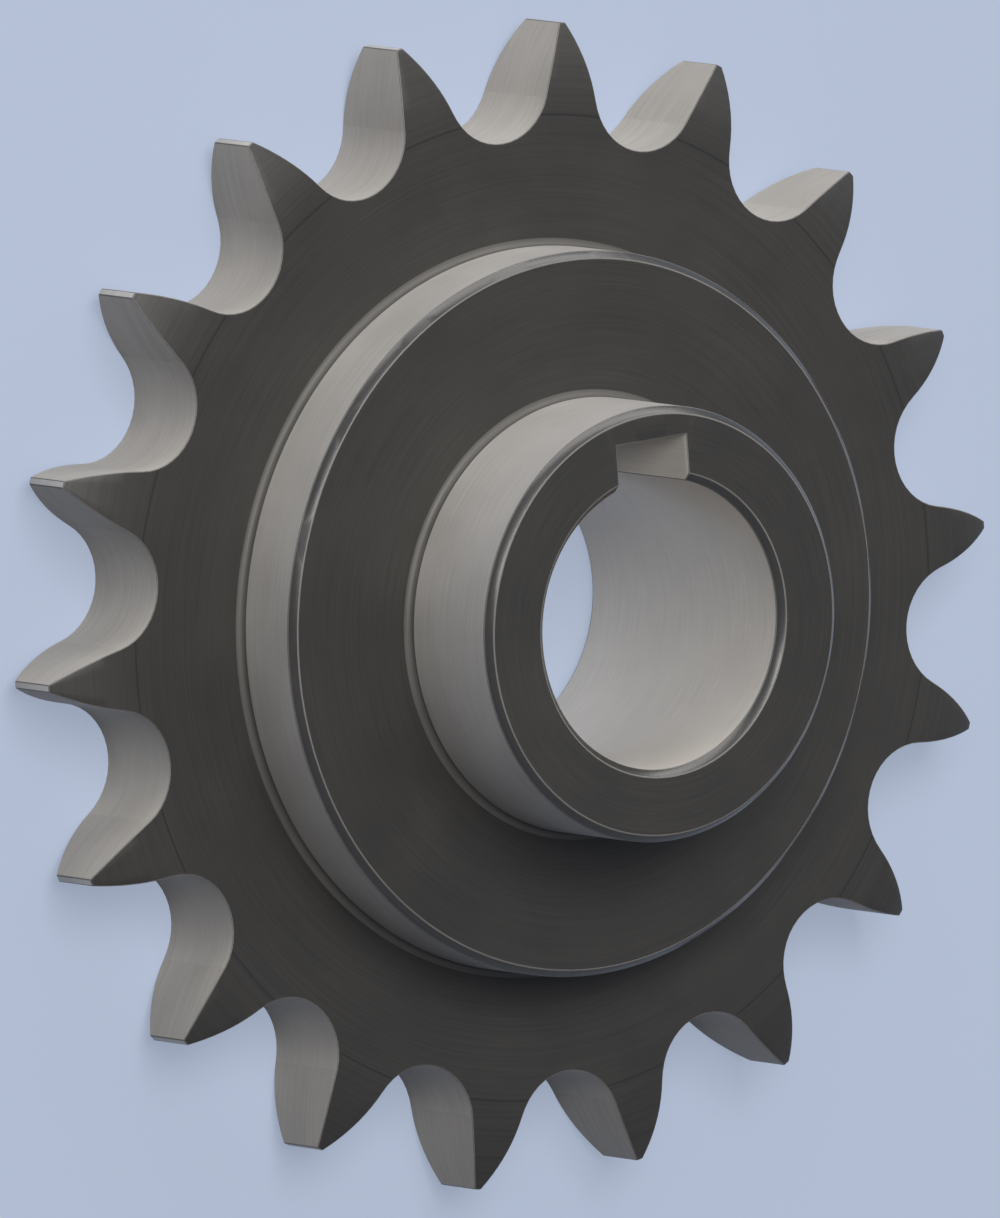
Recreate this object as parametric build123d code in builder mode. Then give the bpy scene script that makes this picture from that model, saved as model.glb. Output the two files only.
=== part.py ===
from build123d import *
import math
import os

# Roller chain sprocket: a toothed plate and a two-step hub, turned and cut from one piece of steel.
# It lies on the flat back of the plate. The origin is the centre of the bore on that face, +Z runs
# along the bore to the nose of the hub, and +Y runs through the middle of the keyway. Sizes are in
# millimetres and angles in degrees.

# Chain that the teeth run in
pitch = 12.7
roller_diameter = 8.51
tooth_count = 18

# Toothed plate
plate_width = 7.2

# Hub: each length starts from the face before it
step_diameter = 50.0
step_length = 5.8
nose_diameter = 30.0
nose_length = 9.0

# Bore and keyway: the keyway's depth is what it cuts beyond the wall of the bore
bore_diameter = 20.0
keyway_width = 6.0
keyway_depth = 2.8

# Turned corners
edge_chamfer = 0.5
root_fillet = 0.5

# Standard tooth form for this chain: a round seat for the roller, a convex flank each side of it,
# and a turned tip
pitch_radius = pitch / (2 * math.sin(math.pi / tooth_count))
seat_radius = 0.505 * roller_diameter
seat_half_angle = (140 - 90 / tooth_count) / 2
flank_radius = 0.12 * roller_diameter * (tooth_count + 2)
tip_radius = pitch_radius + 0.625 * pitch - roller_diameter / 2

# Side relief of the same standard: an arc, tangent to the plate's face, thins the teeth to their tips
relief_radius = pitch
relief_depth = 0.13 * pitch
relief_start_radius = tip_radius - math.sqrt(relief_radius**2 - (relief_radius - relief_depth) ** 2)

# Places across and along the axis
bore_radius = bore_diameter / 2
nose_radius = nose_diameter / 2
step_radius = step_diameter / 2
step_face = plate_width + step_length
nose_face = step_face + nose_length


def corner_angle(side_a, side_b, far_side):
    """The angle of a triangle's corner between two sides, from the lengths of all three."""
    return math.degrees(math.acos((side_a**2 + side_b**2 - far_side**2) / (2 * side_a * side_b)))


# Half a gap between two teeth, whose middle lies on +Y. The centres of the seat and the flank lie in
# line with the seam between them. The flank runs on past the tips, where the cutter is clear of them.
seat_centre = Vector(0, pitch_radius)
seam_direction = Vector(0, -1).rotate(Axis.Z, seat_half_angle)
seam = seat_centre + seam_direction * seat_radius
flank_centre = seam + seam_direction * flank_radius
clear_radius = tip_radius + relief_depth
flank_sweep = corner_angle(flank_centre.length, flank_radius, clear_radius) - corner_angle(
    flank_centre.length, flank_radius, seam.length
)

with BuildSketch() as gap:
    with BuildLine():
        seat = CenterArc(seat_centre, seat_radius, -90, seat_half_angle)
        flank = CenterArc(flank_centre, flank_radius, 90 + seat_half_angle, -flank_sweep)
        mouth = RadiusArc(flank @ 1, (0, clear_radius), -clear_radius)
        Line(mouth @ 1, seat @ 0)
    make_face()
    mirror(about=Plane.YZ)

with BuildPart() as sprocket:
    # Blank as it comes off the lathe, out to the tips of the teeth
    with BuildSketch(Plane.XZ):
        with BuildLine():
            back = Line((bore_radius, 0), (relief_start_radius, 0))
            back_relief = TangentArc(back @ 1, (tip_radius, relief_depth), tangent=(1, 0))
            front_relief = TangentArc(
                (relief_start_radius, plate_width), (tip_radius, plate_width - relief_depth), tangent=(1, 0)
            )
            Line(back_relief @ 1, front_relief @ 1)
            Polyline(
                front_relief @ 0,
                (step_radius, plate_width),
                (step_radius, step_face),
                (nose_radius, step_face),
                (nose_radius, nose_face),
                (bore_radius, nose_face),
                back @ 0,
            )
        make_face()
    revolve(axis=Axis.Z)

    # Fillets where the step rises from the plate and the nose from the step
    rims = edges().filter_by(GeomType.CIRCLE).group_by(Axis.Z)
    step_root = rims[-3].sort_by(SortBy.RADIUS)[0]
    nose_root = rims[-2].sort_by(SortBy.RADIUS)[0]
    fillet([step_root, nose_root], radius=root_fillet)

    # Chamfers on the hub's outer corners and at both ends of the bore
    rims = edges().filter_by(GeomType.CIRCLE).group_by(Axis.Z)
    bore_back_rim = rims[0].sort_by(SortBy.RADIUS)[0]
    step_rim = rims[-3].sort_by(SortBy.RADIUS)[-1]
    chamfer([bore_back_rim, step_rim, *rims[-1]], length=edge_chamfer)

    # Gaps between the teeth
    with BuildSketch():
        with PolarLocations(0, tooth_count):
            add(gap.sketch)
    extrude(amount=plate_width, mode=Mode.SUBTRACT)

    # Keyway, cut from end to end of the bore
    with BuildSketch():
        Rectangle(keyway_width, bore_radius + keyway_depth, align=(Align.CENTER, Align.MIN))
    extrude(amount=nose_face, mode=Mode.SUBTRACT)

sprocket.part.label = "sprocket"
os.makedirs("parts", exist_ok=True)
export_step(sprocket.part, "parts/sprocket.step")
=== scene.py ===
"""Roller chain sprocket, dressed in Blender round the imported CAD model.

One steel piece: a toothed plate, a two-step hub, a bore and a keyway. Lengths here are in millimetres,
and a finished mesh is scaled to metres. The frame is the CAD's: the origin is the centre of the bore on
the flat back face, +Z runs to the nose of the hub, and +Y runs through the middle of the keyway. Angles
round the bore are in degrees, clockwise from +Y as seen from the nose.
"""

from __future__ import annotations

import logging
import math
import sys
from collections.abc import Callable
from dataclasses import dataclass, field
from enum import Enum
from typing import TypeAlias

import bmesh
import bpy
from mathutils import Matrix, Vector


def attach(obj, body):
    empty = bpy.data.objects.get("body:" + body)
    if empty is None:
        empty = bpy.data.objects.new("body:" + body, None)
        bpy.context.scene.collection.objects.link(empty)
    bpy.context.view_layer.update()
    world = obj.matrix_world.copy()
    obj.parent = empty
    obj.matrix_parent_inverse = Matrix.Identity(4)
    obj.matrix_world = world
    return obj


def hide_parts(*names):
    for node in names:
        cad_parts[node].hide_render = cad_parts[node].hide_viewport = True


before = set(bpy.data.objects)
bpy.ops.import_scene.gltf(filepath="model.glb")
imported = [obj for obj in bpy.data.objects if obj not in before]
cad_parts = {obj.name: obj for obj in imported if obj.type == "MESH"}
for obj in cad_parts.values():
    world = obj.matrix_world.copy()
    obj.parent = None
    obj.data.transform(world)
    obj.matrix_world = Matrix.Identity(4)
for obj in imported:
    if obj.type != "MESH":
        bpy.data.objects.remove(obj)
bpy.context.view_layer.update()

LOG = logging.getLogger("sprocket")
MM = 0.001
Z_AXIS = Vector((0, 0, 1))

# Lengths and angles that differ by less than these are the same
WELD = 0.002
TURN_SLACK = 0.001

# A noise runs from 0 to 1 about its middle
NOISE_DETAIL = 3.0
NOISE_MIDDLE = 0.5

# Sockets of the two Mix nodes, by number because their names repeat
COLOUR_SHARE, COLOUR_FIRST, COLOUR_SECOND, COLOUR_RESULT = 0, 6, 7, 2
SHADER_SHARE, SHADER_FIRST, SHADER_SECOND = 0, 1, 2

Place: TypeAlias = Callable[[Vector], Vector]
Test: TypeAlias = Callable[[Vector], bool]
Number: TypeAlias = "Signal | float"


class Finish(Enum):
    """The finishes on the sprocket. Each value is the finish's place among the piece's material slots."""

    FACE = 0
    RELIEF = 1
    TIP = 2
    WALL = 3
    SEAT = 4
    FLANK = 5
    BORE = 6
    KEYWAY = 7
    FILLET = 8
    CHAMFER = 9
    EDGE = 10


@dataclass(frozen=True)
class Signal:
    """A socket that runs out of a shader node. Python's operators on it add Math nodes."""

    sheet: NodeSheet
    socket: bpy.types.NodeSocket | None

    def math(self, operation: str, *others: Number) -> Signal:
        """Adds a Math node that starts with this signal."""
        return self.sheet.math(operation, self, *others)

    def __add__(self, other: Number) -> Signal:
        """This signal plus another."""
        return self.math("ADD", other)

    def __radd__(self, other: Number) -> Signal:
        """Another plus this signal."""
        return self.sheet.math("ADD", other, self)

    def __sub__(self, other: Number) -> Signal:
        """This signal less another."""
        return self.math("SUBTRACT", other)

    def __rsub__(self, other: Number) -> Signal:
        """Another less this signal."""
        return self.sheet.math("SUBTRACT", other, self)

    def __mul__(self, other: Number) -> Signal:
        """This signal times another."""
        return self.math("MULTIPLY", other)

    def __rmul__(self, other: Number) -> Signal:
        """Another times this signal."""
        return self.sheet.math("MULTIPLY", other, self)

    def __truediv__(self, other: Number) -> Signal:
        """This signal over another."""
        return self.math("DIVIDE", other)

    def __rtruediv__(self, other: Number) -> Signal:
        """Another over this signal."""
        return self.sheet.math("DIVIDE", other, self)

    def __pow__(self, other: Number) -> Signal:
        """This signal to a power."""
        return self.math("POWER", other)

    def __rpow__(self, other: Number) -> Signal:
        """Another to the power of this signal."""
        return self.sheet.math("POWER", other, self)

    def step(self, low: float, high: float) -> Signal:
        """Rises smoothly from 0 where this signal is low to 1 where it is high."""
        settings = {"interpolation_type": "SMOOTHSTEP"}
        return self.sheet.add(
            "ShaderNodeMapRange", settings, {"Value": self, "From Min": low, "From Max": high}
        )


class NodeSheet:
    """The node tree of a material or the world, and the one way that nodes come into it."""

    def __init__(self, owner: bpy.types.Material | bpy.types.World) -> None:
        """Clears the tree.

        Args:
            owner: The material or world to draw.
        """
        owner.use_nodes = True
        self.tree = owner.node_tree
        self.tree.nodes.clear()

    def add(
        self,
        kind: str,
        settings: dict[str, object] | None = None,
        inputs: dict[str | int, object] | None = None,
        output: str | int = 0,
    ) -> Signal:
        """Adds a node.

        Args:
            kind: The node's type.
            settings: The node's own settings, which are set first.
            inputs: The values or links of its sockets.
            output: The output that runs on.

        Returns:
            That output, which is empty for a node that has none.
        """
        node = self.tree.nodes.new(kind)
        for name, value in (settings or {}).items():
            setattr(node, name, value)
        for name, value in (inputs or {}).items():
            if isinstance(value, Signal):
                self.tree.links.new(value.socket, node.inputs[name])
            else:
                node.inputs[name].default_value = value
        return Signal(self, node.outputs[output] if node.outputs else None)

    def math(self, operation: str, *values: Number) -> Signal:
        """Adds a Math node on numbers or signals."""
        return self.add("ShaderNodeMath", {"operation": operation}, dict(enumerate(values)))

    def mix(self, first: object, second: object, share: Number) -> Signal:
        """Mixes two colours by a share of the second."""
        inputs = {COLOUR_SHARE: share, COLOUR_FIRST: first, COLOUR_SECOND: second}
        return self.add("ShaderNodeMix", {"data_type": "RGBA"}, inputs, COLOUR_RESULT)

    def blend(self, first: Signal, second: Signal, share: Number) -> Signal:
        """Mixes two shaders by a share of the second."""
        inputs = {SHADER_SHARE: share, SHADER_FIRST: first, SHADER_SECOND: second}
        return self.add("ShaderNodeMixShader", {}, inputs)

    def noise(self, vector: Signal, roughness: float) -> Signal:
        """Adds a noise whose grains are one unit of its vector wide. A rougher one has more fine grain."""
        inputs = {"Vector": vector, "Scale": 1.0, "Detail": NOISE_DETAIL, "Roughness": roughness}
        return self.add("ShaderNodeTexNoise", {}, inputs)

    def vector(self, x: Number, y: Number, z: Number) -> Signal:
        """Joins three numbers to a vector."""
        return self.add("ShaderNodeCombineXYZ", {}, {"X": x, "Y": y, "Z": z})

    def seen(self) -> Signal:
        """Tells what the camera sees, also in steel and through glass, from light on the sprocket.

        Returns:
            1 for what is seen and 0 for light.
        """
        ways = ("Is Camera Ray", "Is Glossy Ray", "Is Transmission Ray")
        direct, mirrored, passed = (self.add("ShaderNodeLightPath", output=way) for way in ways)
        return direct + mirrored + passed

    def scaled(self, vector: Signal, factor: float) -> Signal:
        """A vector times a number."""
        return self.add("ShaderNodeVectorMath", {"operation": "SCALE"}, {0: vector, "Scale": factor})

    def parts(self, vector: Signal) -> tuple[Signal, Signal, Signal]:
        """The three numbers of a vector."""
        node = self.add("ShaderNodeSeparateXYZ", {}, {0: vector}).socket.node
        return tuple(Signal(self, output) for output in node.outputs)


class Lay(Enum):
    """Which way the tool ran over a surface."""

    FACED = "in rings across a flat face"
    TURNED = "in rings along a round wall"
    MILLED = "along the curve of a gap"
    BROACHED = "along the bore"


@dataclass(frozen=True)
class Tone:
    """The two colours that a finish runs between."""

    dark: tuple[float, float, float]
    light: tuple[float, float, float]

    def at(self, sheet: NodeSheet, share: Signal) -> Signal:
        """The colour at a share from dark to light."""
        return sheet.mix((*self.dark, 1.0), (*self.light, 1.0), share)


# Tones of the steel, in order: dark painted shade on the faces and relief, on the burnished chamfers and on
# the fillets; painted shade lightened along the edges by wear and a painted highlight; bare turned steel on
# the walls; darker milled steel as painted shade on the seats and flanks; lighter reamed steel as painted
# light in the bore
FACE_PAINTED_SHADE = Tone((0.0209, 0.0193, 0.0172), (0.0391, 0.0362, 0.032))
CHAMFER_PAINTED_SHADE = Tone((0.028, 0.0259, 0.023), (0.052, 0.0482, 0.0426))
FILLET_PAINTED_SHADE = Tone((0.054, 0.0505, 0.0452), (0.098, 0.0917, 0.0822))
EDGE_WEAR_SHADE_HIGHLIGHT = Tone((0.105, 0.099, 0.090), (0.170, 0.160, 0.146))
BRIGHT = Tone((0.375, 0.355, 0.329), (0.575, 0.544, 0.505))
SEAT_PAINTED_SHADE = Tone((0.306, 0.285, 0.256), (0.47, 0.437, 0.393))
FLANK_PAINTED_SHADE = Tone((0.288, 0.268, 0.24), (0.437, 0.406, 0.364))
BORE_PAINTED_LIGHT = Tone((0.474, 0.445, 0.402), (0.665, 0.624, 0.566))


@dataclass(frozen=True)
class CutSteel:
    """Steel as a cutting tool leaves it: fine marks in the tool's lay, over soft cloudy patches.

    The marks are mark_spacing apart across the lay and run on for about mark_run along it. Those on rings
    do so at ring_radius and spread out with the radius. Marks and clouds each shift the tone by their
    contrast and the roughness by their gloss. A witness is the thin dark line that a tool leaves where its
    cut starts, on a circle round the bore. Its core is a share of its width, and a witness_radius of 0
    means that there is none.
    """

    name: str
    lay: Lay
    tone: Tone
    mark_spacing: float = 0.16
    mark_run: float = 9.0
    ring_radius: float = 20.0
    mark_grain: float = 0.6
    mark_contrast: float = 0.6
    mark_depth: float = 0.004
    mark_strength: float = 0.6
    mark_gloss: float = 0.12
    cloud_size: float = 7.0
    cloud_grain: float = 0.55
    cloud_contrast: float = 0.5
    cloud_gloss: float = 0.16
    metallic: float = 0.3
    specular: float = 0.5
    roughness: float = 0.45
    witness_radius: float = 0.0
    witness_width: float = 0.12
    witness_core: float = 0.3
    witness_colour: tuple[float, float, float] = (0.012, 0.012, 0.011)
    witness_strength: float = 0.7

    def marks(self, sheet: NodeSheet, point: Signal, radius: Signal) -> Signal:
        """Draws the tool marks.

        Args:
            sheet: The material's nodes.
            point: The place on the piece in millimetres.
            radius: Its distance from the bore's axis.

        Returns:
            The height of the marks, from 0 to 1.
        """
        x, y, z = sheet.parts(point)
        across, along = 1 / self.mark_spacing, 1 / self.mark_run
        if self.lay is Lay.MILLED:
            grain = sheet.vector(x * along, y * along, z * across)
        elif self.lay is Lay.BROACHED:
            grain = sheet.vector(x * across, y * across, z * along)
        else:
            rings = radius if self.lay is Lay.FACED else z
            turn = self.ring_radius * along
            grain = sheet.vector(x / radius * turn, y / radius * turn, rings * across)
        return sheet.noise(grain, self.mark_grain)

    def witness(self, radius: Signal) -> Signal:
        """Draws the witness line.

        Args:
            radius: The distance from the bore's axis.

        Returns:
            The line's share, from 0 to 1.
        """
        off = radius.sheet.math("ABSOLUTE", radius - self.witness_radius)
        core = self.witness_width * self.witness_core
        return (1 - off.step(core, self.witness_width)) * self.witness_strength

    def material(self) -> bpy.types.Material:
        """Draws the finish.

        Returns:
            The material.
        """
        material = bpy.data.materials.new(self.name)
        sheet = NodeSheet(material)
        point = sheet.scaled(sheet.add("ShaderNodeTexCoord", output="Object"), 1 / MM)
        x, y, _ = sheet.parts(point)
        radius = (x * x + y * y) ** 0.5
        marks = self.marks(sheet, point, radius)
        cloud = sheet.noise(sheet.scaled(point, 1 / self.cloud_size), self.cloud_grain)
        marks_off, cloud_off = marks - NOISE_MIDDLE, cloud - NOISE_MIDDLE
        share = NOISE_MIDDLE + marks_off * self.mark_contrast + cloud_off * self.cloud_contrast
        colour = self.tone.at(sheet, share.step(0.0, 1.0))
        if self.witness_radius:
            colour = sheet.mix(colour, (*self.witness_colour, 1.0), self.witness(radius))
        roughness = self.roughness + cloud_off * self.cloud_gloss - marks_off * self.mark_gloss
        relief = {"Strength": self.mark_strength, "Distance": self.mark_depth * MM, "Height": marks}
        inputs = {
            "Base Color": colour,
            "Metallic": self.metallic,
            "Specular IOR Level": self.specular,
            "Roughness": roughness,
            "Normal": sheet.add("ShaderNodeBump", {}, relief),
        }
        surface = sheet.add("ShaderNodeBsdfPrincipled", {}, inputs)
        sheet.add("ShaderNodeOutputMaterial", {}, {"Surface": surface})
        return material


@dataclass(frozen=True)
class MilledSteel(CutSteel):
    """Steel cut by a hob between the teeth, duller than a turned wall."""

    metallic: float = 0.15
    specular: float = 0.3
    roughness: float = 0.6


@dataclass(frozen=True)
class DullSteel(CutSteel):
    """Cut steel that shines less and shows the marks more, for the dark tones that are painted shade."""

    mark_contrast: float = 0.9
    metallic: float = 0.1
    specular: float = 0.3
    roughness: float = 0.5


@dataclass(frozen=True)
class BurnishedSteel(DullSteel):
    """A chamfer that the tool left smooth enough to shine, under a dark tone that is painted shade."""

    metallic: float = 0.4
    specular: float = 0.65
    roughness: float = 0.27


@dataclass(frozen=True)
class FloorPaint:
    """Pale floor paint that keeps a shadow. Part of what the camera sees of it is a plain glow."""

    paint: tuple[float, float, float] = (0.253, 0.28, 0.345)
    glow: tuple[float, float, float] = (0.614, 0.714, 0.924)
    glow_share: float = 0.5

    def material(self) -> bpy.types.Material:
        """Draws the finish.

        Returns:
            The material.
        """
        material = bpy.data.materials.new("floor_paint")
        sheet = NodeSheet(material)
        paint = sheet.add("ShaderNodeBsdfDiffuse", {}, {"Color": (*self.paint, 1.0)})
        glow = sheet.add("ShaderNodeEmission", {}, {"Color": (*self.glow, 1.0)})
        surface = sheet.blend(paint, glow, sheet.seen() * self.glow_share)
        sheet.add("ShaderNodeOutputMaterial", {}, {"Surface": surface})
        return material


@dataclass(frozen=True)
class Air:
    """The soft light from all round, and the pale colour that is seen beyond the floor."""

    level: float = 0.03
    far_colour: tuple[float, float, float] = (0.40, 0.445, 0.565)

    def world(self) -> bpy.types.World:
        """Draws the air.

        Returns:
            The world.
        """
        world = bpy.data.worlds.new("air")
        sheet = NodeSheet(world)
        light = {"Color": (1.0, 1.0, 1.0, 1.0), "Strength": self.level}
        near_air = sheet.add("ShaderNodeBackground", {}, light)
        far_air = sheet.add("ShaderNodeBackground", {}, {"Color": (*self.far_colour, 1.0)})
        surface = sheet.blend(near_air, far_air, sheet.seen())
        sheet.add("ShaderNodeOutputWorld", {}, {"Surface": surface})
        return world


def radius_of(point: Vector) -> float:
    """The distance of a point from the bore's axis."""
    return math.hypot(point.x, point.y)


def angle_of(point: Vector) -> float:
    """The angle of a point round the bore, from -180 to 180 degrees."""
    return math.degrees(math.atan2(point.x, point.y))


def polar(angle: float, radius: float, height: float) -> Vector:
    """The point at an angle round the bore, a radius and a height."""
    turn = math.radians(angle)
    return Vector((radius * math.sin(turn), radius * math.cos(turn), height))


def ring_at(radius: float, height: float) -> Place:
    """A placing that moves a point straight out or in to a radius, and to a height."""
    return lambda point: polar(angle_of(point), radius, height)


def near(value: float, target: float) -> bool:
    """True where a length is the target's within the weld distance."""
    return abs(value - target) < WELD


def corner_angle(side_a: float, side_b: float, far_side: float) -> float:
    """The angle in degrees of a triangle's corner between two sides, from the lengths of all three."""
    return math.degrees(math.acos((side_a**2 + side_b**2 - far_side**2) / (2 * side_a * side_b)))


def edges_where(bm: bmesh.types.BMesh, test: Test) -> list[bmesh.types.BMEdge]:
    """Finds edges by where their ends are.

    Args:
        bm: The mesh in work.
        test: What both ends of an edge have to pass.

    Returns:
        The edges whose two ends pass.
    """
    return [edge for edge in bm.edges if all(test(vert.co) for vert in edge.verts)]


def grow(
    bm: bmesh.types.BMesh, edges: list[bmesh.types.BMEdge], place: Place, finish: Finish
) -> list[bmesh.types.BMEdge]:
    """Extrudes a line of edges into a strip of faces.

    Args:
        bm: The mesh in work.
        edges: The line to extrude.
        place: Where each new point goes, from where the old one is.
        finish: The finish of the new faces.

    Returns:
        The strip's new outer edges.
    """
    made = bmesh.ops.extrude_edge_only(bm, edges=edges)["geom"]
    points = [item for item in made if isinstance(item, bmesh.types.BMVert)]
    fresh = set(points)
    for point in points:
        point.co = place(point.co)
    for item in made:
        if isinstance(item, bmesh.types.BMFace):
            item.material_index = finish.value
    return [
        item for item in made if isinstance(item, bmesh.types.BMEdge) and fresh.issuperset(item.verts)
    ]


@dataclass
class ToothedPlate:
    """The plate with its ring of teeth. Its mesh starts as half a tooth and half a gap.

    The seat's and the flank's radius are shares of the roller's diameter, and the tip's height and the
    relief's depth are shares of the pitch, as the standard tooth form has them. So are the two seat angles.
    The face rings are the radii where the flat faces are divided.
    """

    pitch: float = 12.7
    roller_diameter: float = 8.51
    tooth_count: int = 18
    width: float = 7.2
    seat_share: float = 0.505
    seat_angle: float = 140.0
    seat_angle_loss: float = 90.0
    flank_share: float = 0.12
    tip_share: float = 0.625
    relief_share: float = 0.13
    face_rings: tuple[float, ...] = (31.3, 28.4)
    seat_steps: int = 6
    seam_steps: int = 2
    flank_steps: int = 9
    tip_steps: int = 2

    @property
    def half_width(self) -> float:
        """The distance from the plate's middle plane to either face."""
        return self.width / 2

    @property
    def half_tooth(self) -> float:
        """The angle from the middle of a gap to the middle of a tooth."""
        return 180 / self.tooth_count

    @property
    def pitch_radius(self) -> float:
        """The radius of the circle through the rollers' middles."""
        return self.pitch / (2 * math.sin(math.pi / self.tooth_count))

    @property
    def seat_radius(self) -> float:
        """The radius of the round seat of a roller."""
        return self.seat_share * self.roller_diameter

    @property
    def seat_half_angle(self) -> float:
        """The angle of the seat's arc from its bottom to its seam with the flank."""
        return (self.seat_angle - self.seat_angle_loss / self.tooth_count) / 2

    @property
    def flank_radius(self) -> float:
        """The radius of the convex flank."""
        return self.flank_share * self.roller_diameter * (self.tooth_count + 2)

    @property
    def tip_radius(self) -> float:
        """The radius out to the tips of the teeth."""
        return self.pitch_radius + self.tip_share * self.pitch - self.roller_diameter / 2

    @property
    def relief_depth(self) -> float:
        """How far the side relief thins a tooth at its tip, on each side."""
        return self.relief_share * self.pitch

    @property
    def relief_start(self) -> float:
        """The radius where the side relief leaves the plate's face."""
        return self.tip_radius - math.sqrt(self.pitch**2 - (self.pitch - self.relief_depth) ** 2)

    def relief_at(self, radius: float) -> float:
        """How far below the plate's face the relief lies at a radius."""
        run = max(radius - self.relief_start, 0)
        return self.pitch - math.sqrt(self.pitch**2 - run**2)

    def trace_outline(self, bm: bmesh.types.BMesh) -> None:
        """Spins a point along the seat, the flank and the tip, on the plate's middle plane at height 0.

        Args:
            bm: The empty mesh that takes the outline.
        """
        seat_centre = Vector((0, self.pitch_radius, 0))
        along = math.radians(self.seat_half_angle)
        seam_way = Vector((math.sin(along), -math.cos(along), 0))
        seam = seat_centre + seam_way * self.seat_radius
        flank_centre = seam + seam_way * self.flank_radius
        reach = radius_of(flank_centre)
        flank_sweep = corner_angle(reach, self.flank_radius, self.tip_radius) - corner_angle(
            reach, self.flank_radius, radius_of(seam)
        )
        start_sweep = corner_angle(self.seat_radius, self.pitch_radius, self.relief_start)
        point = bm.verts.new(seat_centre - Vector((0, self.seat_radius, 0)))
        point = self.run_arc(bm, point, seat_centre, start_sweep, self.seat_steps)
        point = self.run_arc(bm, point, seat_centre, self.seat_half_angle - start_sweep, self.seam_steps)
        point = self.run_arc(bm, point, flank_centre, -flank_sweep, self.flank_steps)
        land = angle_of(point.co) - self.half_tooth
        self.run_arc(bm, point, Vector(), land, self.tip_steps)

    def run_arc(
        self, bm: bmesh.types.BMesh, point: bmesh.types.BMVert, centre: Vector, sweep: float, steps: int
    ) -> bmesh.types.BMVert:
        """Spins the line's last point on along an arc.

        Args:
            bm: The mesh in work.
            point: The line's last point.
            centre: The arc's centre.
            sweep: The arc's angle in degrees, anticlockwise.
            steps: How many edges the arc has.

        Returns:
            The new last point.
        """
        made = bmesh.ops.spin(
            bm, geom=[point], cent=centre, axis=Z_AXIS, angle=math.radians(sweep), steps=steps
        )
        return next(item for item in made["geom_last"] if isinstance(item, bmesh.types.BMVert))

    def raise_gap_wall(self, bm: bmesh.types.BMesh) -> None:
        """Raises the outline into the wall of the gap and the land of the tip.

        Args:
            bm: The mesh with the outline.
        """

        def to_front(point: Vector) -> Vector:
            """Lifts a point to the plate's front, or to its relief."""
            return Vector((point.x, point.y, self.half_width - self.relief_at(radius_of(point))))

        grow(bm, bm.edges[:], to_front, Finish.FLANK)
        for face in bm.faces:
            if all(near(radius_of(vert.co), self.tip_radius) for vert in face.verts):
                face.material_index = Finish.TIP.value
            elif all(near(self.seat_reach(vert.co), self.seat_radius) for vert in face.verts):
                face.material_index = Finish.SEAT.value

    def seat_reach(self, point: Vector) -> float:
        """The distance of a point from the middle of the roller in the first gap."""
        return math.hypot(point.x, point.y - self.pitch_radius)

    def turn_relief(self, bm: bmesh.types.BMesh) -> None:
        """Fills the front of the half tooth, row by row at each radius, out to the middle of the tooth.

        Args:
            bm: The mesh with the wall.
        """

        def beside_relief(point: Vector) -> bool:
            """Finds the front edge of the wall where the relief thins it, short of the land.

            Args:
                point: The point to test.

            Returns:
                True on that edge.
            """
            radius = radius_of(point)
            on_front = near(point.z, self.half_width - self.relief_at(radius))
            on_land = near(radius, self.tip_radius) and angle_of(point) > tip_angle + TURN_SLACK
            return on_front and radius > self.relief_start - WELD and not on_land

        tips = [vert.co for vert in bm.verts if near(radius_of(vert.co), self.tip_radius)]
        tip_angle = min(angle_of(tip) for tip in tips)
        edges = edges_where(bm, beside_relief)
        for left in range(self.tip_steps, 0, -1):

            def nearer_middle(point: Vector, share: float = 1 / left) -> Vector:
                """Turns a point round the bore by its share of what is left to the tooth's middle."""
                angle = angle_of(point)
                return polar(angle + (self.half_tooth - angle) * share, radius_of(point), point.z)

            edges = grow(bm, edges, nearer_middle, Finish.RELIEF)

    def face_off(self, bm: bmesh.types.BMesh, inner_radius: float) -> None:
        """Fills the flat face from the seat and the relief's start to the hub.

        Args:
            bm: The mesh with the wall and the relief.
            inner_radius: Where the flat face ends.
        """
        bmesh.ops.remove_doubles(bm, verts=bm.verts[:], dist=WELD)

        def on_rim(point: Vector) -> bool:
            """True on the flat face's outer rim."""
            return near(point.z, self.half_width) and radius_of(point) < self.relief_start + WELD

        edges = edges_where(bm, on_rim)
        for radius in (*self.face_rings, inner_radius):
            edges = grow(bm, edges, ring_at(radius, self.half_width), Finish.FACE)

    def build(self, bm: bmesh.types.BMesh, inner_radius: float) -> None:
        """Builds the whole plate, open inside the inner radius on both faces.

        Args:
            bm: The empty mesh that takes the plate.
            inner_radius: Where both flat faces end.
        """
        self.trace_outline(bm)
        self.raise_gap_wall(bm)
        self.turn_relief(bm)
        self.face_off(bm, inner_radius)
        half_turn = Matrix.Rotation(math.radians(self.half_tooth), 3, "Z")
        bmesh.ops.rotate(bm, cent=(0, 0, 0), matrix=half_turn, verts=bm.verts[:])
        for axis in ("Z", "X"):
            bmesh.ops.mirror(bm, geom=bm.verts[:] + bm.edges[:] + bm.faces[:], axis=axis, merge_dist=WELD)
        turns = self.tooth_count - 1
        bmesh.ops.spin(
            bm,
            geom=bm.verts[:] + bm.edges[:] + bm.faces[:],
            cent=(0, 0, 0),
            axis=Z_AXIS,
            angle=-math.radians(2 * self.half_tooth * turns),
            steps=turns,
            use_duplicate=True,
        )
        bmesh.ops.remove_doubles(bm, verts=bm.verts[:], dist=WELD)
        bmesh.ops.rotate(bm, cent=(0, 0, 0), matrix=half_turn.inverted(), verts=bm.verts[:])
        bmesh.ops.translate(bm, vec=(0, 0, self.half_width), verts=bm.verts[:])
        LOG.info("toothed plate: %d teeth, %d faces", self.tooth_count, len(bm.faces))


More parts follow.
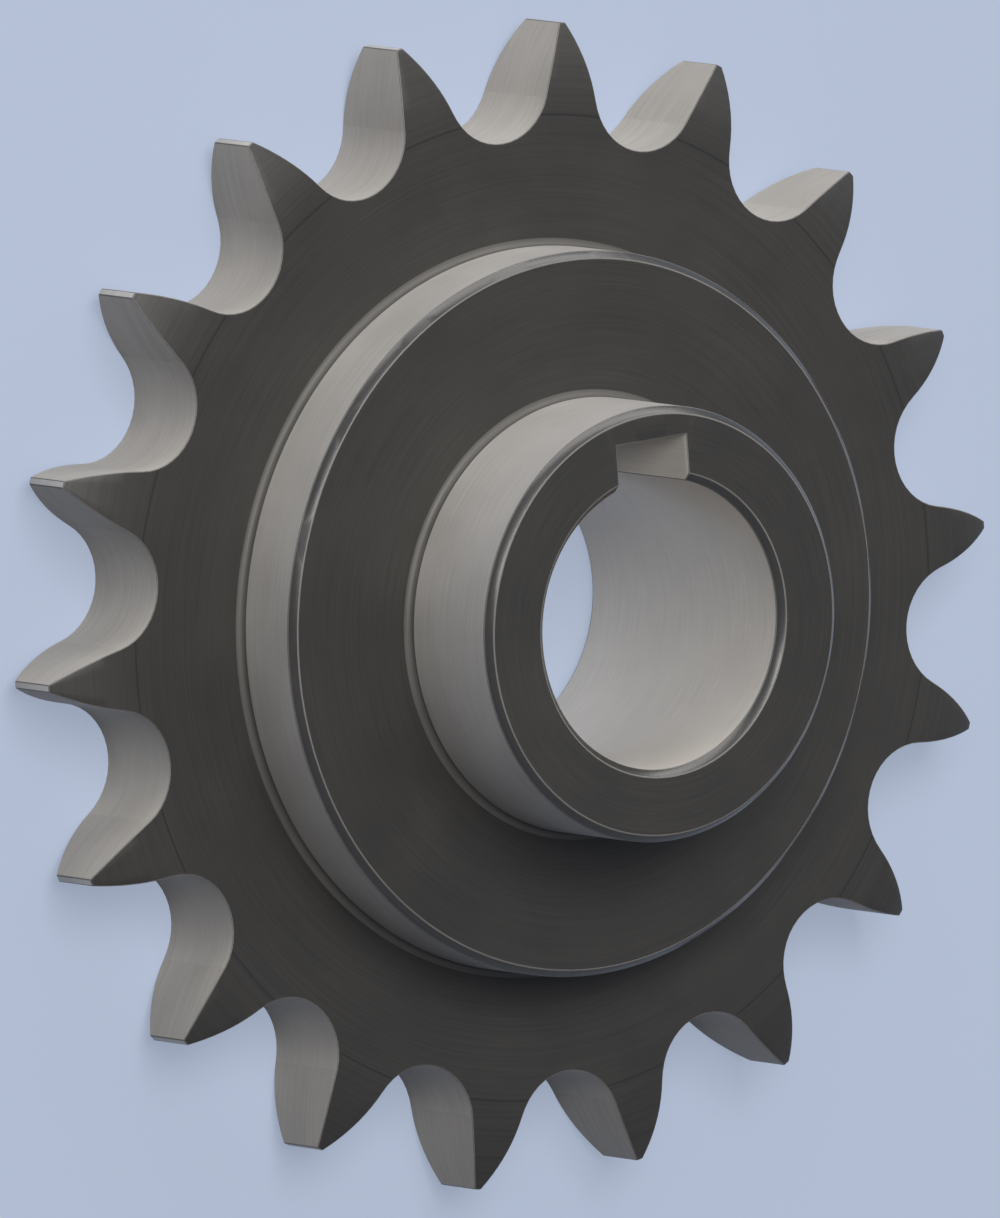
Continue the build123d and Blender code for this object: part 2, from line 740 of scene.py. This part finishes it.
@dataclass
class Hub:
    """The two steps of the hub, turned up from the plate's front face."""

    step_radius: float = 25.0
    step_length: float = 5.8
    nose_radius: float = 15.0
    nose_length: float = 9.0
    chamfer: float = 0.5
    fillet: float = 0.5
    fillet_steps: int = 6

    @property
    def root_radius(self) -> float:
        """The radius where the hub's first fillet leaves the plate's face."""
        return self.step_radius + self.fillet

    def turn_up(
        self, bm: bmesh.types.BMesh, ring: list[bmesh.types.BMEdge], radius: float, base: float, top: float
    ) -> list[bmesh.types.BMEdge]:
        """Turns one step of the hub: its fillet, its wall and its chamfer.

        Args:
            bm: The mesh in work.
            ring: The ring of edges at the foot of the fillet.
            radius: The wall's radius.
            base: The height of the face that it stands on.
            top: The height of its own face.

        Returns:
            The ring of edges at the inner rim of the chamfer.
        """
        for step in range(1, self.fillet_steps + 1):
            turn = math.radians(90 * step / self.fillet_steps)
            place = ring_at(
                radius + self.fillet * (1 - math.sin(turn)), base + self.fillet * (1 - math.cos(turn))
            )
            ring = grow(bm, ring, place, Finish.FILLET)
        ring = grow(bm, ring, ring_at(radius, top - self.chamfer), Finish.WALL)
        return grow(bm, ring, ring_at(radius - self.chamfer, top), Finish.CHAMFER)

    def build(self, bm: bmesh.types.BMesh, plate_face: float) -> tuple[list[bmesh.types.BMEdge], float]:
        """Builds both steps.

        Args:
            bm: The mesh with the plate, open at the root radius.
            plate_face: The height of the plate's front face.

        Returns:
            The ring of edges at the rim of the nose, and the nose's height.
        """

        def at_root(point: Vector) -> bool:
            """True on the inner rim of the plate's front face."""
            return near(point.z, plate_face) and near(radius_of(point), self.root_radius)

        step_face = plate_face + self.step_length
        nose_face = step_face + self.nose_length
        ring = self.turn_up(bm, edges_where(bm, at_root), self.step_radius, plate_face, step_face)
        ring = grow(bm, ring, ring_at(self.nose_radius + self.fillet, step_face), Finish.FACE)
        ring = self.turn_up(bm, ring, self.nose_radius, step_face, nose_face)
        LOG.info("hub: step to %.1f mm, nose to %.1f mm", step_face, nose_face)
        return ring, nose_face


@dataclass
class KeyedBore:
    """The bore with its chamfers, and the keyway broached along it.

    The back ring is the radius where the back face is divided. The corner and the mouth are the angles of
    the points that the keyway's corners and its mouth grow from.
    """

    radius: float = 10.0
    chamfer: float = 0.5
    keyway_width: float = 6.0
    keyway_depth: float = 2.8
    back_ring: float = 18.0
    corner: float = field(default=0.0, init=False)
    mouth: float = field(default=0.0, init=False)

    @property
    def side(self) -> float:
        """The distance of the keyway's side walls from its middle."""
        return self.keyway_width / 2

    @property
    def ceiling(self) -> float:
        """The distance of the keyway's ceiling from the bore's axis."""
        return self.radius + self.keyway_depth

    def mouth_angle(self, radius: float) -> float:
        """The angle where a circle of that radius meets the keyway's side wall."""
        return math.degrees(math.asin(self.side / radius))

    def mouth_reach(self, radius: float) -> float:
        """The distance of that meeting from the bore's axis, along the keyway's middle."""
        return radius * math.cos(math.radians(self.mouth_angle(radius)))

    def choose_columns(self, ring: list[bmesh.types.BMEdge]) -> None:
        """Gives the keyway's corners and mouth to the nearest points of the ring that the bore grows from.

        Args:
            ring: The ring's edges.
        """
        angles = {round(angle_of(vert.co), 4) for edge in ring for vert in edge.verts}
        corner = math.degrees(math.atan2(self.side, self.ceiling))
        self.corner = min(angles, key=lambda angle: abs(angle - corner))
        self.mouth = min(angles, key=lambda angle: abs(angle - self.mouth_angle(self.radius)))

    def outline(self, angle: float, radius: float, height: float) -> Vector:
        """A point of the bore's outline, keyway and all.

        Args:
            angle: The angle of the ring's point that it grows from.
            radius: The radius of the round part at this height.
            height: The height.

        Returns:
            The point.
        """
        turn = abs(angle)
        way = math.copysign(1, angle)
        if turn <= self.corner + TURN_SLACK:
            across = self.side * math.tan(math.radians(turn)) / math.tan(math.radians(self.corner))
            return Vector((way * across, self.ceiling, height))
        if turn <= self.mouth + TURN_SLACK:
            share = (turn - self.corner) / (self.mouth - self.corner)
            reach = self.ceiling + (self.mouth_reach(radius) - self.ceiling) * share
            return Vector((way * self.side, reach, height))
        share = (turn - self.mouth) / (180 - self.mouth)
        start = self.mouth_angle(radius)
        return polar(way * (start + (180 - start) * share), radius, height)

    def rebore(self, old_radius: float, radius: float, height: float) -> Place:
        """A placing from one outline of the bore to another.

        Args:
            old_radius: The radius of the round part of the outline that is there.
            radius: The radius of the new one.
            height: The height of the new one.

        Returns:
            The placing.
        """
        old_reach, reach = self.mouth_reach(old_radius), self.mouth_reach(radius)
        old_start, start = self.mouth_angle(old_radius), self.mouth_angle(radius)

        def place(point: Vector) -> Vector:
            """Moves a point of the old outline.

            Args:
                point: The point.

            Returns:
                Its place on the new outline.
            """
            if point.y > self.ceiling - WELD:
                return Vector((point.x, point.y, height))
            if near(abs(point.x), self.side) and point.y > old_reach - WELD:
                share = (self.ceiling - point.y) / (self.ceiling - old_reach)
                return Vector((point.x, self.ceiling - share * (self.ceiling - reach), height))
            angle = angle_of(point)
            share = (abs(angle) - old_start) / (180 - old_start)
            return polar(math.copysign(start + (180 - start) * share, angle), radius, height)

        return place

    def build(
        self,
        bm: bmesh.types.BMesh,
        nose_ring: list[bmesh.types.BMEdge],
        nose_face: float,
        back_radius: float,
    ) -> None:
        """Closes the nose, bores the hub through and closes the back.

        Args:
            bm: The mesh with the plate and the hub.
            nose_ring: The ring of edges at the rim of the nose.
            nose_face: The nose's height.
            back_radius: The radius where the back face is still open.
        """

        def at_back(point: Vector) -> bool:
            """True on the inner rim of the back face."""
            return near(point.z, 0) and near(radius_of(point), back_radius)

        self.choose_columns(nose_ring)
        rim = self.radius + self.chamfer
        top = nose_face - self.chamfer

        def from_ring(height: float) -> Place:
            """A placing from a round ring to the bore's rim at a height."""
            return lambda point: self.outline(angle_of(point), rim, height)

        ring = grow(bm, nose_ring, from_ring(nose_face), Finish.FACE)
        ring = grow(bm, ring, self.rebore(rim, self.radius, top), Finish.CHAMFER)
        ring = grow(bm, ring, self.rebore(self.radius, self.radius, self.chamfer), Finish.BORE)
        grow(bm, ring, self.rebore(self.radius, rim, 0), Finish.CHAMFER)
        ring = grow(bm, edges_where(bm, at_back), ring_at(self.back_ring, 0), Finish.FACE)
        grow(bm, ring, from_ring(0), Finish.FACE)
        bmesh.ops.remove_doubles(bm, verts=bm.verts[:], dist=WELD)
        bored = (Finish.BORE.value, Finish.CHAMFER.value)
        for face in bm.faces:
            if face.material_index in bored and self.in_keyway(face):
                face.material_index = Finish.KEYWAY.value
        LOG.info("bore: %.1f mm, keyway %.1f mm wide", 2 * self.radius, self.keyway_width)

    def in_keyway(self, face: bmesh.types.BMFace) -> bool:
        """Tells the keyway's faces from the bore's.

        Args:
            face: A face of the bore or the keyway.

        Returns:
            True for a face of the keyway's ceiling or side walls.
        """
        centre = face.calc_center_median()
        beside = abs(centre.x) < self.side + WELD and 0 < centre.y < self.ceiling + WELD
        return beside and radius_of(centre) > self.radius - WELD


@dataclass
class Sprocket:
    """The sprocket in one piece."""

    plate: ToothedPlate = field(default_factory=ToothedPlate)
    hub: Hub = field(default_factory=Hub)
    bore: KeyedBore = field(default_factory=KeyedBore)
    edge_break: float = 0.1
    edge_angle: float = 30.0
    edge_steps: int = 2

    def break_edges(self, bm: bmesh.types.BMesh) -> None:
        """Rounds every sharp edge a little, as deburring does.

        Args:
            bm: The closed mesh.
        """
        sharp = [edge for edge in bm.edges if math.degrees(edge.calc_face_angle(0)) > self.edge_angle]
        made = bmesh.ops.bevel(
            bm,
            geom=sharp,
            offset=self.edge_break,
            offset_type="OFFSET",
            segments=self.edge_steps,
            profile=0.5,
            affect="EDGES",
            material=-1,
            clamp_overlap=True,
        )
        for face in made["faces"]:
            face.material_index = Finish.EDGE.value
        LOG.info("broken edges: %d", len(sharp))

    def shape(self) -> bmesh.types.BMesh:
        """Shapes the closed mesh in millimetres.

        Returns:
            The mesh.
        """
        bm = bmesh.new()
        self.plate.build(bm, self.hub.root_radius)
        ring, nose_face = self.hub.build(bm, self.plate.width)
        self.bore.build(bm, ring, nose_face, self.hub.root_radius)
        bmesh.ops.recalc_face_normals(bm, faces=bm.faces[:])
        self.break_edges(bm)
        return bm

    def finishes(self) -> dict[Finish, CutSteel]:
        """Chooses the finish of each surface.

        Returns:
            The finishes.
        """
        start = self.plate.relief_start
        # The faces, relief, fillets and chamfers carry painted shade, the edges painted shade with wear and
        # a painted highlight, the seats and flanks painted shade, and the bore and keyway painted light
        return {
            Finish.FACE: DullSteel("faced_painted_shade", Lay.FACED, FACE_PAINTED_SHADE, witness_radius=start),
            Finish.RELIEF: DullSteel(
                "relieved_painted_shade", Lay.FACED, FACE_PAINTED_SHADE, mark_spacing=0.2, witness_radius=start
            ),
            Finish.TIP: CutSteel("steel_tip", Lay.TURNED, BRIGHT),
            Finish.WALL: CutSteel("steel_turned", Lay.TURNED, BRIGHT),
            Finish.SEAT: MilledSteel("steel_seat_painted_shade", Lay.MILLED, SEAT_PAINTED_SHADE),
            Finish.FLANK: MilledSteel("steel_flank_painted_shade", Lay.MILLED, FLANK_PAINTED_SHADE, mark_spacing=0.22),
            Finish.BORE: CutSteel("steel_reamed_painted_light", Lay.TURNED, BORE_PAINTED_LIGHT, mark_spacing=0.12, roughness=0.38),
            Finish.KEYWAY: CutSteel("steel_broached_painted_light", Lay.BROACHED, BORE_PAINTED_LIGHT),
            Finish.FILLET: DullSteel("fillet_painted_shade", Lay.TURNED, FILLET_PAINTED_SHADE),
            Finish.CHAMFER: BurnishedSteel("chamfer_painted_shade", Lay.TURNED, CHAMFER_PAINTED_SHADE),
            Finish.EDGE: DullSteel("edge_wear_shade_highlight", Lay.MILLED, EDGE_WEAR_SHADE_HIGHLIGHT),
        }

    def dress(self, piece: bpy.types.Object) -> None:
        """Gives the piece its finishes and evens its shading.

        Args:
            piece: The sprocket's object.
        """
        finishes = self.finishes()
        for finish in Finish:
            piece.data.materials.append(finishes[finish].material())
        piece.modifiers.new("even_shading", "WEIGHTED_NORMAL")
        LOG.info("finishes: %d", len(finishes))

    def build(self) -> bpy.types.Object:
        """Builds the sprocket and sets it in the frame.

        Returns:
            The object.
        """
        bm = self.shape()
        loose = [edge for edge in bm.edges if not edge.is_manifold]
        LOG.info("sprocket: %d faces, %d open edges, %.0f mm3", len(bm.faces), len(loose), bm.calc_volume())
        bmesh.ops.scale(bm, vec=(MM, MM, MM), verts=bm.verts[:])
        for face in bm.faces:
            face.smooth = True
        mesh = bpy.data.meshes.new("sprocket_steel")
        bm.to_mesh(mesh)
        bm.free()
        piece = bpy.data.objects.new("sprocket_steel", mesh)
        bpy.context.scene.collection.objects.link(piece)
        self.dress(piece)
        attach(piece, "root")
        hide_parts("sprocket")
        return piece


@dataclass(frozen=True)
class Softbox:
    """A soft lamp that faces the sprocket, at an angle round the bore and an elevation over the floor.

    Its level is the brightness that it gives to a matt white surface that faces it.
    """

    name: str
    angle: float
    elevation: float
    distance: float
    width: float
    height: float
    level: float

    def place(self, aim: Vector) -> bpy.types.Object:
        """Sets the lamp up.

        Args:
            aim: The point that it faces, in metres.

        Returns:
            The lamp's object.
        """
        lamp = bpy.data.lights.new(self.name, "AREA")
        lamp.shape = "RECTANGLE"
        lamp.size = self.width * MM
        lamp.size_y = self.height * MM
        lamp.energy = self.level * (math.pi * self.distance * MM) ** 2
        lift = math.radians(self.elevation)
        way = polar(self.angle, math.cos(lift), math.sin(lift))
        box = bpy.data.objects.new(self.name, lamp)
        box.location = aim + way * self.distance * MM
        box.rotation_mode = "QUATERNION"
        box.rotation_quaternion = way.to_track_quat("Z", "Y")
        box.visible_camera = False
        bpy.context.scene.collection.objects.link(box)
        return box


@dataclass
class Studio:
    """The pale floor, the soft light and the camera of the picture.

    The frame's height is that of the picture at the sprocket. The shifts move its middle from the point at
    the aim height on the bore's axis. The camera's clipping distances are in metres.
    """

    floor_paint: FloorPaint = field(default_factory=FloorPaint)
    air: Air = field(default_factory=Air)
    floor_radius: float = 4000.0
    floor_sides: int = 96
    lens: float = 1300.0
    sensor: float = 36.0
    nearest: float = 0.1
    farthest: float = 100.0
    frame_height: float = 83.668
    aim_height: float = 7.2
    shift_left: float = 2.376
    shift_down: float = 0.062
    picture_right: Vector = field(default_factory=lambda: Vector((0.79882, -0.06763, 0.59776)))
    picture_up: Vector = field(default_factory=lambda: Vector((0.14051, 0.98716, -0.07609)))
    lamps: tuple[Softbox, ...] = (
        Softbox("top", angle=-34, elevation=60, distance=1100, width=900, height=520, level=1.3),
        Softbox("key", angle=14, elevation=13, distance=1000, width=1330, height=380, level=0.72),
        Softbox("fill", angle=62, elevation=26, distance=960, width=600, height=480, level=0.13),
    )

    def lay_floor(self) -> bpy.types.Object:
        """Lays the floor under the sprocket.

        Returns:
            The floor's object.
        """
        bm = bmesh.new()
        bmesh.ops.create_circle(bm, cap_ends=True, segments=self.floor_sides, radius=self.floor_radius * MM)
        mesh = bpy.data.meshes.new("floor")
        bm.to_mesh(mesh)
        bm.free()
        mesh.materials.append(self.floor_paint.material())
        floor = bpy.data.objects.new("floor", mesh)
        bpy.context.scene.collection.objects.link(floor)
        return floor

    def light(self) -> None:
        """Lights the air and sets the lamps up."""
        bpy.context.scene.world = self.air.world()
        for lamp in self.lamps:
            lamp.place(Vector((0, 0, self.aim_height * MM)))

    def aim_camera(self) -> bpy.types.Object:
        """Sets the camera up, far off with a long lens because the picture has no perspective.

        Returns:
            The camera's object.
        """
        back = self.picture_right.cross(self.picture_up)
        shift = self.picture_right * -self.shift_left - self.picture_up * self.shift_down
        centre = Vector((0, 0, self.aim_height)) + shift
        camera = bpy.data.cameras.new("picture_camera")
        camera.lens = self.lens
        camera.sensor_width = self.sensor
        camera.clip_start = self.nearest
        camera.clip_end = self.farthest
        distance = self.frame_height * self.lens / self.sensor
        eye = bpy.data.objects.new("picture_camera", camera)
        turn = Matrix((self.picture_right, self.picture_up, back)).transposed()
        eye.matrix_world = Matrix.LocRotScale((centre + back * distance) * MM, turn.to_quaternion(), None)
        bpy.context.scene.collection.objects.link(eye)
        bpy.context.scene.camera = eye
        return eye

    def build(self) -> None:
        """Sets the whole studio up."""
        self.lay_floor()
        self.light()
        self.aim_camera()
        bpy.context.scene.view_settings.view_transform = "Standard"
        LOG.info("studio: floor, %d lamps, camera", len(self.lamps))


def main() -> None:
    """Builds the sprocket and the studio round it."""
    logging.basicConfig(level=logging.INFO, format="%(name)s: %(message)s", stream=sys.stdout)
    Studio().build()
    Sprocket().build()


if __name__ == "__main__":
    main()
